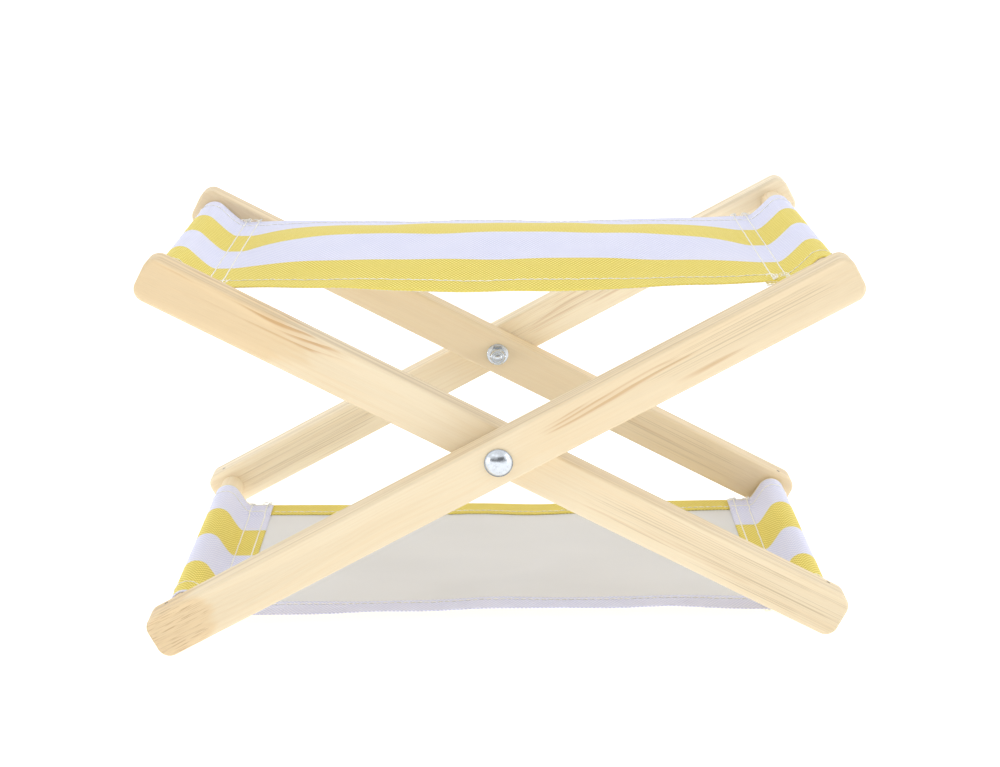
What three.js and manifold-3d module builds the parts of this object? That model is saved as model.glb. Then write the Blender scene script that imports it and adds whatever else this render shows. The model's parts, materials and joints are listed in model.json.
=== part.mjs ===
// A low folding camp stool: two crossed wooden frames on one pivot line, joined by a seat sling
// between the two top dowels and a storage sling between the two bottom dowels.
// Millimetres, +Z up. The origin is on the floor, midway between the legs: x = 0 is the pivot line,
// which runs along Y, and y = 0 is halfway from front to back.
import * as THREE from 'three';
import { mergeVertices } from 'three/addons/utils/BufferGeometryUtils.js';
import Module from 'manifold-3d';

// Driving dimensions
const LEG_LENGTH = 446;
const LEG_WIDTH = 26;
const LEG_THICK = 20;
const LEG_CORNER = 7.5;
const LEG_ARRIS = 1.5;
const LEG_ANGLE = THREE.MathUtils.degToRad(27.8);
const OVERALL_DEPTH = 290;
const LEG_GAP = 1;
const DOWEL_RADIUS = 7.5;
const DOWEL_FROM_END = 14;
const DOWEL_CHAMFER = 0.8;
const MORTISE_DEPTH = 10;
const BOLT_RADIUS = 3;
const BOLT_END_CHAMFER = 0.7;
const HEAD_RADIUS = 8;
const HEAD_HEIGHT = 4.2;
const HEAD_RIM = 1;
const BOLT_PAST_NUT = 1;
const WASHER_RADIUS = 7.25;
const WASHER_THICK = 1.2;
const NUT_FLATS = 10;
const NUT_HEX_HEIGHT = 6;
const NUT_CHAMFER = 0.6;
const COLLAR_RADIUS = 4.8;
const COLLAR_HEIGHT = 2;
const COLLAR_BORE = 4;
const COLLAR_ROOT = 1;
const INSERT_HEIGHT = 1.6;
const BRAD_RADIUS = 0.7;
const BRAD_HEAD_RADIUS = 1.2;
const BRAD_HEAD_THICK = 0.8;
const BRAD_HEAD_CHAMFER = 0.2;
const BRAD_SINK = 0.2;
const BRAD_POINT = 1.5;
const BRAD_REACH = 3;
const SLING_CLEARANCE = 2;
const CLOTH_THICK = 1.2;
const SEAM_FROM_DOWEL = 24;
const POCKET_FROM_DOWEL = 20;

// Clearances between pieces that fit together
const PLAY = 0.3;
const FACE_PLAY = 0.15;

// How far a cutter reaches past the face it goes in by
const CUT_PAST = 1;

// How finely curves are divided, and how close two points are to count as one
const ROUND_SIDES = 24;
const DOWEL_SIDES = 32;
const BRAD_SIDES = 8;
const DOME_STEPS = 5;
const CORNER_STEPS = 4;
const ARRIS_STEPS = 2;
const SLEEVE_STEPS = 10;
const SAME_POINT = 1e-4;

// Derived places
const halfLeg = LEG_LENGTH / 2;
const halfDepth = OVERALL_DEPTH / 2;
const outerLegY = halfDepth - LEG_THICK / 2;
const innerLegY = outerLegY - LEG_THICK - LEG_GAP;
const innerFace = innerLegY - LEG_THICK / 2;
const dowelReach = halfLeg - DOWEL_FROM_END;
const dowelX = dowelReach * Math.cos(LEG_ANGLE);
const dowelRise = dowelReach * Math.sin(LEG_ANGLE);
const pivotHeight = (halfLeg - LEG_CORNER) * Math.sin(LEG_ANGLE)
  + (LEG_WIDTH / 2 - LEG_CORNER) * Math.cos(LEG_ANGLE) + LEG_CORNER;
const slingWidth = 2 * (innerFace - SLING_CLEARANCE);

const wasm = await Module();
wasm.setup();

// Solids -----------------------------------------------------------------------------------

function toSolid(geometry) {
  const bare = geometry.clone();
  bare.deleteAttribute('normal');
  bare.deleteAttribute('uv');
  const merged = mergeVertices(bare, SAME_POINT);
  const vertProperties = new Float32Array(merged.attributes.position.array);
  const triVerts = new Uint32Array(merged.index.array);
  return new wasm.Manifold(new wasm.Mesh({ numProp: 3, vertProperties, triVerts }));
}

function toGeometry(solid) {
  const mesh = solid.getMesh();
  const geometry = new THREE.BufferGeometry();
  geometry.setAttribute('position', new THREE.BufferAttribute(mesh.vertProperties, 3));
  geometry.setIndex(new THREE.BufferAttribute(mesh.triVerts, 1));
  geometry.computeVertexNormals();
  return geometry;
}

// A round bar along Y, centred on (x, z), from y0 to y1.
function barAlongY(radius, y0, y1, x = 0, z = 0, sides = ROUND_SIDES) {
  return new THREE.CylinderGeometry(radius, radius, y1 - y0, sides)
    .translate(x, (y0 + y1) / 2, z);
}

// A round bar along Z, centred on (x, y), from z0 to z1.
function barAlongZ(radius, z0, z1, x, y, sides = BRAD_SIDES) {
  return new THREE.CylinderGeometry(radius, radius, z1 - z0, sides)
    .rotateX(Math.PI / 2)
    .translate(x, y, (z0 + z1) / 2);
}

// A turned piece on the Y axis, from a closed half-section of [radius, y] points.
function turned(points, sides = ROUND_SIDES) {
  return new THREE.LatheGeometry(points.map(([r, y]) => new THREE.Vector2(r, y)), sides);
}

function ring(inner, outer, y0, y1, sides = ROUND_SIDES) {
  return turned([[inner, y0], [outer, y0], [outer, y1], [inner, y1], [inner, y0]], sides);
}

// Wooden pieces ----------------------------------------------------------------------------

// A slat lying along X with its wide faces to -Y and +Y, before it is drilled.
function slatBlank() {
  const x = halfLeg - LEG_CORNER;
  const z = LEG_WIDTH / 2 - LEG_CORNER;
  const quarter = Math.PI / 2;
  const outline = new THREE.Shape();
  outline.absarc(x, -z, LEG_CORNER, -quarter, 0, false);
  outline.absarc(x, z, LEG_CORNER, 0, quarter, false);
  outline.absarc(-x, z, LEG_CORNER, quarter, 2 * quarter, false);
  outline.absarc(-x, -z, LEG_CORNER, 2 * quarter, 3 * quarter, false);
  outline.closePath();
  return new THREE.ExtrudeGeometry(outline, {
    depth: LEG_THICK - 2 * LEG_ARRIS,
    bevelThickness: LEG_ARRIS,
    bevelSize: LEG_ARRIS,
    bevelOffset: -LEG_ARRIS,
    bevelSegments: ARRIS_STEPS,
    curveSegments: CORNER_STEPS,
  })
    .translate(0, 0, LEG_ARRIS - LEG_THICK / 2)
    .rotateX(Math.PI / 2);
}

// inward is +1 when the mortises are in the +Y face, and bradEdge[end] is the narrow edge
// (+1 upper, -1 lower in the slat's own frame) that the brad at that end goes in by.
function slat(inward, bradEdge) {
  const mouth = inward * (LEG_THICK / 2 + CUT_PAST);
  const floor = inward * (LEG_THICK / 2 - MORTISE_DEPTH);
  const bradY = inward * (LEG_THICK - MORTISE_DEPTH) / 2;
  let solid = toSolid(slatBlank());
  const pivotHole = barAlongY(BOLT_RADIUS + PLAY, -LEG_THICK, LEG_THICK);
  solid = solid.subtract(toSolid(pivotHole));
  for (const end of [-1, 1]) {
    const x = end * dowelReach;
    const mortise = barAlongY(DOWEL_RADIUS + PLAY, Math.min(mouth, floor), Math.max(mouth, floor), x);
    solid = solid.subtract(toSolid(mortise));
    const past = bradEdge[end] * (LEG_WIDTH / 2 + CUT_PAST);
    const hole = barAlongZ(BRAD_RADIUS + PLAY, Math.min(0, past), Math.max(0, past), x, bradY);
    const sinkFrom = bradEdge[end] * (LEG_WIDTH / 2 - BRAD_HEAD_THICK - PLAY - BRAD_SINK);
    const sink = barAlongZ(BRAD_HEAD_RADIUS + PLAY, Math.min(sinkFrom, past),
      Math.max(sinkFrom, past), x, bradY);
    solid = solid.subtract(toSolid(hole)).subtract(toSolid(sink));
  }
  return toGeometry(solid);
}

// A dowel along Y, centred on y = 0, with a hole near each end for its brad.
function dowel(halfSpan, bradUp) {
  const end = halfSpan + MORTISE_DEPTH - PLAY;
  const bar = turned([
    [0, -end],
    [DOWEL_RADIUS - DOWEL_CHAMFER, -end],
    [DOWEL_RADIUS, -end + DOWEL_CHAMFER],
    [DOWEL_RADIUS, end - DOWEL_CHAMFER],
    [DOWEL_RADIUS - DOWEL_CHAMFER, end],
    [0, end],
  ], DOWEL_SIDES);
  let solid = toSolid(bar);
  for (const side of [-1, 1]) {
    const y = side * (halfSpan + MORTISE_DEPTH / 2);
    const inside = -bradUp * (BRAD_REACH + CUT_PAST);
    const outside = bradUp * LEG_WIDTH;
    const hole = barAlongZ(BRAD_RADIUS + PLAY, Math.min(inside, outside), Math.max(inside, outside), 0, y);
    solid = solid.subtract(toSolid(hole));
  }
  return toGeometry(solid);
}

// A brad with its head just under the slat's edge. It lies along Z, point down, head at the top.
function brad() {
  const top = LEG_WIDTH / 2 - BRAD_SINK;
  return new THREE.LatheGeometry([
    new THREE.Vector2(0, -BRAD_REACH),
    new THREE.Vector2(BRAD_RADIUS, BRAD_POINT - BRAD_REACH),
    new THREE.Vector2(BRAD_RADIUS, top - BRAD_HEAD_THICK),
    new THREE.Vector2(BRAD_HEAD_RADIUS, top - BRAD_HEAD_THICK),
    new THREE.Vector2(BRAD_HEAD_RADIUS, top - BRAD_HEAD_CHAMFER),
    new THREE.Vector2(BRAD_HEAD_RADIUS - BRAD_HEAD_CHAMFER, top),
    new THREE.Vector2(0, top),
  ], BRAD_SIDES).rotateX(Math.PI / 2);
}

// Pivot hardware. Each piece is turned on the Y axis, for the front pair: -Y is outwards. -----

const headSeat = -halfDepth - FACE_PLAY;
const washerOut = -innerFace + FACE_PLAY;
const washerIn = washerOut + WASHER_THICK;
const nutOut = washerIn + FACE_PLAY;
const nutIn = nutOut + NUT_HEX_HEIGHT;
const collarIn = nutIn + COLLAR_HEIGHT;
const boltEnd = collarIn + BOLT_PAST_NUT;

// A low domed head and a plain shank.
function bolt() {
  const rise = HEAD_HEIGHT - HEAD_RIM;
  const domeRadius = (HEAD_RADIUS ** 2 + rise ** 2) / (2 * rise);
  const domeCentre = headSeat - HEAD_HEIGHT + domeRadius;
  const edgeAngle = Math.asin(HEAD_RADIUS / domeRadius);
  const points = [[0, headSeat - HEAD_HEIGHT]];
  for (let i = 1; i <= DOME_STEPS; i += 1) {
    const angle = edgeAngle * i / DOME_STEPS;
    points.push([domeRadius * Math.sin(angle), domeCentre - domeRadius * Math.cos(angle)]);
  }
  points.push([HEAD_RADIUS, headSeat]);
  points.push([BOLT_RADIUS, headSeat]);
  points.push([BOLT_RADIUS, boltEnd - BOLT_END_CHAMFER]);
  points.push([BOLT_RADIUS - BOLT_END_CHAMFER, boltEnd]);
  points.push([0, boltEnd]);
  return turned(points);
}

// A hexagon with its corners turned off, and the round collar that holds the insert.
function lockNut() {
  const corner = NUT_FLATS / Math.sqrt(3);
  const hexagon = new THREE.CylinderGeometry(corner, corner, NUT_HEX_HEIGHT, 6)
    .translate(0, (nutOut + nutIn) / 2, 0);
  const turnedOff = turned([
    [0, nutOut],
    [corner - NUT_CHAMFER, nutOut],
    [corner, nutOut + NUT_CHAMFER],
    [corner, nutIn - NUT_CHAMFER],
    [corner - NUT_CHAMFER, nutIn],
    [0, nutIn],
  ]);
  const collar = barAlongY(COLLAR_RADIUS, nutIn - COLLAR_ROOT, collarIn);
  const bore = barAlongY(BOLT_RADIUS + PLAY / 2, nutOut - CUT_PAST, collarIn + CUT_PAST);
  const seat = barAlongY(COLLAR_BORE, collarIn - INSERT_HEIGHT - FACE_PLAY, collarIn + CUT_PAST);
  return toGeometry(toSolid(hexagon)
    .intersect(toSolid(turnedOff))
    .add(toSolid(collar))
    .subtract(toSolid(bore))
    .subtract(toSolid(seat)));
}

// Slings -----------------------------------------------------------------------------------

// Adds one end of a sling's section: a loop of that radius round a dowel at x = side * dowelX,
// drawn out to a point or to the flat cloth at reach from the dowel's middle.
function loopArc(path, side, radius, reach) {
  const turn = Math.acos(radius / reach);
  const inward = side > 0 ? Math.PI : 0;
  path.absarc(side * dowelX, 0, radius, inward + turn, inward - turn, false);
}

// A flat cloth with a sleeve at each end, in X and Z about the level of the dowels' middles.
function sling() {
  const half = CLOTH_THICK / 2;
  const seamX = dowelX - SEAM_FROM_DOWEL;
  const outerRadius = DOWEL_RADIUS + PLAY + CLOTH_THICK;
  const outline = new THREE.Shape();
  outline.moveTo(-seamX, -half);
  outline.lineTo(seamX, -half);
  loopArc(outline, 1, outerRadius, SEAM_FROM_DOWEL);
  outline.lineTo(seamX, half);
  outline.lineTo(-seamX, half);
  loopArc(outline, -1, outerRadius, SEAM_FROM_DOWEL);
  outline.closePath();
  for (const side of [-1, 1]) {
    const sleeve = new THREE.Path();
    loopArc(sleeve, side, DOWEL_RADIUS + PLAY, POCKET_FROM_DOWEL);
    sleeve.lineTo(side * (dowelX - POCKET_FROM_DOWEL), 0);
    sleeve.closePath();
    outline.holes.push(sleeve);
  }
  return new THREE.ExtrudeGeometry(outline, {
    depth: slingWidth,
    bevelEnabled: false,
    curveSegments: SLEEVE_STEPS,
  })
    .translate(0, 0, -slingWidth / 2)
    .rotateX(Math.PI / 2);
}

// Materials --------------------------------------------------------------------------------

const pine = new THREE.MeshStandardMaterial({ color: 0xf3ddba, roughness: 0.6, metalness: 0 });
const yellowStripe = new THREE.MeshStandardMaterial({ color: 0xdecb55, roughness: 0.85, metalness: 0 });
const coatedBack = new THREE.MeshStandardMaterial({ color: 0xdedbd6, roughness: 0.6, metalness: 0 });
const zincPlate = new THREE.MeshStandardMaterial({ color: 0xc4ccd2, roughness: 0.25, metalness: 1 });
const nylon = new THREE.MeshStandardMaterial({ color: 0xe6e9ec, roughness: 0.5, metalness: 0 });
const bradSteel = new THREE.MeshStandardMaterial({ color: 0x8d8474, roughness: 0.45, metalness: 1 });

// Assembly ---------------------------------------------------------------------------------

const stool = new THREE.Group();
const pivotLine = new THREE.Group();
pivotLine.position.z = pivotHeight;
stool.add(pivotLine);

function place(parent, name, geometry, material) {
  const mesh = new THREE.Mesh(geometry, material);
  mesh.name = name;
  parent.add(mesh);
  return mesh;
}

// One frame: two slats at +-legY and a dowel across each end. lean is -1 when the slats rise
// to the right. Its brads go in by the upper edges at the feet and by the under edges at the top.
function frame(name, legY, lean) {
  const group = new THREE.Group();
  group.rotation.y = lean * LEG_ANGLE;
  const footEnd = lean;
  const bradEdge = { [footEnd]: 1, [-footEnd]: -1 };
  const halfSpan = legY - LEG_THICK / 2;
  for (const [side, where] of [[-1, 'front'], [1, 'rear']]) {
    const leg = place(group, `${name}_leg_${where}`, slat(-side, bradEdge), pine);
    leg.position.y = side * legY;
  }
  for (const [end, where] of [[footEnd, 'foot'], [-footEnd, 'top']]) {
    const bar = place(group, `${name}_${where}_dowel`, dowel(halfSpan, bradEdge[end]), pine);
    bar.position.x = end * dowelReach;
    for (const [side, sideName] of [[-1, 'front'], [1, 'rear']]) {
      const pin = place(group, `${name}_${where}_brad_${sideName}`, brad(), bradSteel);
      pin.position.set(end * dowelReach, side * (halfSpan + MORTISE_DEPTH / 2), 0);
      pin.rotation.y = bradEdge[end] > 0 ? 0 : Math.PI;
    }
  }
  return group;
}

pivotLine.add(frame('outer', outerLegY, -1));
pivotLine.add(frame('inner', innerLegY, 1));

const spacerOut = -halfDepth + LEG_THICK + FACE_PLAY;
const spacerIn = -halfDepth + LEG_THICK + LEG_GAP - FACE_PLAY;
for (const [turn, where] of [[0, 'front'], [Math.PI, 'rear']]) {
  const set = new THREE.Group();
  set.rotation.z = turn;
  place(set, `pivot_bolt_${where}`, bolt(), zincPlate);
  place(set, `spacer_washer_${where}`, ring(BOLT_RADIUS + PLAY, HEAD_RADIUS, spacerOut, spacerIn), zincPlate);
  place(set, `nut_washer_${where}`, ring(BOLT_RADIUS + PLAY, WASHER_RADIUS, washerOut, washerIn), zincPlate);
  place(set, `lock_nut_${where}`, lockNut(), zincPlate);
  const insert = ring(BOLT_RADIUS + FACE_PLAY, COLLAR_BORE - FACE_PLAY, collarIn - INSERT_HEIGHT, collarIn);
  place(set, `nut_insert_${where}`, insert, nylon);
  pivotLine.add(set);
}

const seat = place(pivotLine, 'seat_sling', sling(), yellowStripe);
seat.position.z = dowelRise;
const shelf = place(pivotLine, 'lower_sling', sling(), coatedBack);
shelf.position.z = -dowelRise;

export default stool;
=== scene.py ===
import json
import math

import bmesh
import bpy
import numpy as np
from mathutils import Matrix, Vector


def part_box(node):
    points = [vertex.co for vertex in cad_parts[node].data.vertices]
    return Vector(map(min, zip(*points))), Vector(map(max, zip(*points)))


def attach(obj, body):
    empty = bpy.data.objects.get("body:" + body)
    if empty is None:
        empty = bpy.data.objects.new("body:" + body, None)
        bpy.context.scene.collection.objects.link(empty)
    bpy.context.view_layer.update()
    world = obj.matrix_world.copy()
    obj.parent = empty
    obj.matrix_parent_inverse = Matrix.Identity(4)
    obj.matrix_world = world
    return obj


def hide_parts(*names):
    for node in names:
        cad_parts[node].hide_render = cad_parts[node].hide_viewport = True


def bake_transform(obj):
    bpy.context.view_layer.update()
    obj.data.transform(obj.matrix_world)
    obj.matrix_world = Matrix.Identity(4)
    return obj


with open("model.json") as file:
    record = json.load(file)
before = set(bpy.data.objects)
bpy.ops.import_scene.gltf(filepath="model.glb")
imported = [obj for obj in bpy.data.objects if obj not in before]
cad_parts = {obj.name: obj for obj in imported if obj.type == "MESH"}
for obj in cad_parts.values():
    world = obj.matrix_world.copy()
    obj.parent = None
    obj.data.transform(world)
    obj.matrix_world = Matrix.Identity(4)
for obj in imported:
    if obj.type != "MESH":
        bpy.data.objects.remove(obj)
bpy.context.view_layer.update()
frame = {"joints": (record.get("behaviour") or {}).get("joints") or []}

# The low folding stool: two crossed pine frames, a striped seat sling and a storage sling.
# Everything is in metres. x runs along the seat, y from front to back, z up.

MM = 0.001

# Places that come from the frame ------------------------------------------------------------

PIVOT_Z = frame["joints"][0]["pos_m"][2]


def middle(node):
    """The middle of a CAD node's box."""
    low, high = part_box(node)
    return (low + high) / 2


def size(node):
    """The three sides of a CAD node's box."""
    low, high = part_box(node)
    return high - low


DOWEL_X = middle("outer_top_dowel").x
DOWEL_RISE = middle("outer_top_dowel").z - PIVOT_Z
DOWEL_RADIUS = size("outer_top_dowel").x / 2
LEG_ANGLE = math.atan2(DOWEL_RISE, DOWEL_X)
LEG_THICK = size("outer_leg_front").y
CLOTH_WIDTH = size("seat_sling").y

# Sizes of the wooden pieces that a box doesn't give

LEG_LENGTH = 446 * MM
LEG_WIDTH = 26 * MM
LEG_CORNER = 7.5 * MM
LEG_ARRIS = 1.7 * MM
BOLT_HOLE = 3.15 * MM
DOWEL_CHAMFER = 0.8 * MM

# Cloth: its thickness, the spacing of two layers, and what is turned in or left over at a seam

CLOTH_THICK = 0.5 * MM
LAYER = 0.7 * MM
HEM = 20 * MM
HEM_STITCH = 15 * MM
SLEEVE_RADIUS = DOWEL_RADIUS + 1.0 * MM
TAIL = 4 * MM
FLAP_NARROW = 0.03
WEAVE_ALONG, WEAVE_ACROSS = 2.35 * MM, 3.7 * MM

# Thread: its radius, how it is pressed flat, and the grid that each stitch is made of

THREAD_RADIUS = 0.42 * MM
THREAD_SPREAD, THREAD_PRESSED = 1.25, 0.6
LOOSE_RADIUS = 0.32 * MM
STITCH_RINGS, THREAD_SIDES = 5, 5
HEM_PITCH, SEAM_PITCH = 4.1 * MM, 3.7 * MM

# Colours, as linear light

WOOD_PALE = (0.848, 0.730, 0.526)
# Painted light: a paler plank colour that lifts a leg standing in shade
WOOD_PAINTED_LIGHT = (0.970, 0.865, 0.660)
WOOD_WARM = (0.790, 0.580, 0.320)
WOOD_STREAK = (0.560, 0.315, 0.120)
WOOD_PORE = (0.460, 0.285, 0.145)
WOOD_EDGE = (0.520, 0.400, 0.245)
CLOTH_YELLOW = (0.830, 0.690, 0.145)
CLOTH_WHITE = (0.800, 0.805, 0.945)
# Painted shade of the weave's sunk threads and painted highlight of its raised threads, in each stripe
YELLOW_SUNK_SHADE, YELLOW_RAISED_LIT = (0.640, 0.505, 0.050), (0.975, 0.840, 0.245)
WHITE_SUNK_SHADE, WHITE_RAISED_LIT = (0.645, 0.665, 0.870), (0.825, 0.835, 0.975)
CLOTH_BACK = (0.735, 0.740, 0.750)
COATING_PALE, COATING_SPECK = (0.805, 0.808, 0.815), (0.55, 0.53, 0.50)
THREAD = (0.985, 0.975, 0.920)
THREAD_GROOVE_SHADE = (0.955, 0.935, 0.850)
ZINC = (0.640, 0.685, 0.740)
NYLON = (0.780, 0.820, 0.860)
NYLON_SHADE = (0.66, 0.71, 0.78)
BRAD = (0.200, 0.165, 0.120)


# Meshes from arrays ---------------------------------------------------------------------------

def grid_faces(rows, columns, wrap_rows=False, wrap_columns=False):
    """The quads of a grid of points, row by row, as an array of four indices each. A wrapped side
    joins its last line of points to its first."""
    i = np.arange(rows if wrap_rows else rows - 1)[:, None]
    j = np.arange(columns if wrap_columns else columns - 1)[None, :]
    i2, j2 = (i + 1) % rows, (j + 1) % columns
    quads = np.stack([i * columns + j, i * columns + j2, i2 * columns + j2, i2 * columns + j], -1)
    return quads.reshape(-1, 4)


def make_piece(name, points, quads, materials, sharp=None, attributes=None, closed=True):
    """A mesh object at the origin from an array of points and an array of quads. Points that meet
    at a pole or a seam are merged. attributes maps a name to one vector for each point."""
    mesh = bpy.data.meshes.new(name)
    mesh.from_pydata(points.tolist(), [], quads.tolist())
    for key, values in (attributes or {}).items():
        place = mesh.attributes.new(key, "FLOAT_VECTOR", "POINT")
        place.data.foreach_set("vector", np.asarray(values, np.float32).ravel())
    work = bmesh.new()
    work.from_mesh(mesh)
    if closed:
        bmesh.ops.remove_doubles(work, verts=work.verts, dist=1e-7)
        bmesh.ops.recalc_face_normals(work, faces=work.faces)
    work.to_mesh(mesh)
    work.free()
    mesh.shade_smooth()
    if sharp:
        mesh.set_sharp_from_angle(angle=math.radians(sharp))
    for material in materials:
        mesh.materials.append(material)
    piece = bpy.data.objects.new(name, mesh)
    bpy.context.scene.collection.objects.link(piece)
    return piece


def leaned(local, lean, y):
    """Points of a slat's own frame put in their place: turned about the pivot line by the legs'
    angle, rising to the right where lean is +1."""
    c, s = math.cos(LEG_ANGLE), lean * math.sin(LEG_ANGLE)
    x = c * local[:, 0] - s * local[:, 2]
    z = s * local[:, 0] + c * local[:, 2]
    return np.stack([x, local[:, 1], z], -1) + np.array([0, y, PIVOT_Z])


def smoothstep(x):
    """0 below 0, 1 above 1, and an even S between."""
    x = np.clip(x, 0, 1)
    return x * x * (3 - 2 * x)


def turned(profile, sides, twist=None):
    """A surface turned about the Y axis: each (radius, y) of the profile is carried round a full
    circle. twist(angle, radius, y) gives the radius where it changes round the circle."""
    profile = np.asarray(profile, float)
    angle = np.linspace(0, 2 * np.pi, sides, endpoint=False)[None, :]
    radius = np.repeat(profile[:, :1], sides, 1)
    y = np.repeat(profile[:, 1:], sides, 1)
    if twist:
        radius = twist(angle, radius, y)
    points = np.stack([radius * np.cos(angle), y, radius * np.sin(angle)], -1)
    return points.reshape(-1, 3)


def arc(centre, radius, start, end, count):
    """Points on an arc as (first, second) pairs, angles in degrees."""
    a = np.radians(np.linspace(start, end, count))
    return np.stack([centre[0] + radius * np.cos(a), centre[1] + radius * np.sin(a)], -1)


# Shader building ------------------------------------------------------------------------------

class Nodes:
    """Short calls for placing nodes in a material's or a group's tree."""

    def __init__(self, tree):
        self.tree = tree

    def add(self, kind, inputs=None, **settings):
        """A new node with its settings and inputs."""
        node = self.tree.nodes.new(kind)
        for key, value in settings.items():
            setattr(node, key, value)
        for key, value in (inputs or {}).items():
            self.feed(node.inputs[key], value)
        return node

    def feed(self, socket, value):
        """Links an output to a socket, or sets the socket to a plain value."""
        if isinstance(value, bpy.types.NodeSocket):
            self.tree.links.new(value, socket)
        elif isinstance(value, tuple) and socket.type == "RGBA" and len(value) == 3:
            socket.default_value = (*value, 1)
        else:
            socket.default_value = value

    def math(self, operation, a, b=0.0, clamp=False):
        """One step of arithmetic."""
        node = self.add("ShaderNodeMath", {0: a, 1: b}, operation=operation, use_clamp=clamp)
        return node.outputs[0]

    def mix(self, factor, a, b, blend="MIX"):
        """Colour a at factor 0 and colour b at factor 1."""
        node = self.add("ShaderNodeMix", data_type="RGBA", blend_type=blend)
        for socket, value in ((0, factor), (6, a), (7, b)):
            self.feed(node.inputs[socket], value)
        return node.outputs[2]

    def ramp(self, value, low, high, out_low=0.0, out_high=1.0):
        """A smooth change from out_low at low to out_high at high, held outside them."""
        node = self.add("ShaderNodeMapRange", {0: value, 1: low, 2: high, 3: out_low, 4: out_high},
                        interpolation_type="SMOOTHSTEP")
        return node.outputs[0]

    def scaled(self, vector, scale, shift=(0, 0, 0)):
        """A place stretched by scale and moved by shift."""
        node = self.add("ShaderNodeMapping", {"Vector": vector, "Scale": scale, "Location": shift})
        return node.outputs[0]

    def noise(self, vector, scale, detail=2.0, rough=0.5, distortion=0.0):
        """Smooth noise between 0 and 1."""
        node = self.add("ShaderNodeTexNoise", {"Vector": vector, "Scale": scale, "Detail": detail,
                                               "Roughness": rough, "Distortion": distortion})
        return node.outputs[0]


def new_group(name, inputs, outputs):
    """An empty shader group with named sockets. Each socket is (name, kind, default)."""
    group = bpy.data.node_groups.new(name, "ShaderNodeTree")
    for direction, sockets in (("INPUT", inputs), ("OUTPUT", outputs)):
        for socket, kind, default in sockets:
            made = group.interface.new_socket(socket, in_out=direction, socket_type="NodeSocket" + kind)
            if default is not None:
                made.default_value = (*default, 1) if kind == "Color" else default
    nodes = Nodes(group)
    return group, nodes, nodes.add("NodeGroupInput").outputs, nodes.add("NodeGroupOutput").inputs


def new_material(name):
    """A material with one Principled BSDF, as (material, nodes, the shader)."""
    material = bpy.data.materials.new(name)
    material.use_nodes = True
    return material, Nodes(material.node_tree), material.node_tree.nodes["Principled BSDF"]


def place_group(nodes, group, inputs):
    """Puts a shader group into a tree and gives its outputs."""
    node = nodes.add("ShaderNodeGroup", node_tree=group)
    for key, value in inputs.items():
        nodes.feed(node.inputs[key], value)
    return node.outputs


def bump(nodes, shader, height, strength, distance):
    """Turns a height into small relief on the shader's normal."""
    node = nodes.add("ShaderNodeBump", {"Height": height, "Strength": strength, "Distance": distance})
    nodes.feed(shader.inputs["Normal"], node.outputs[0])


# Wood: grain in the slat's own directions ------------------------------------------------------

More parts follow.
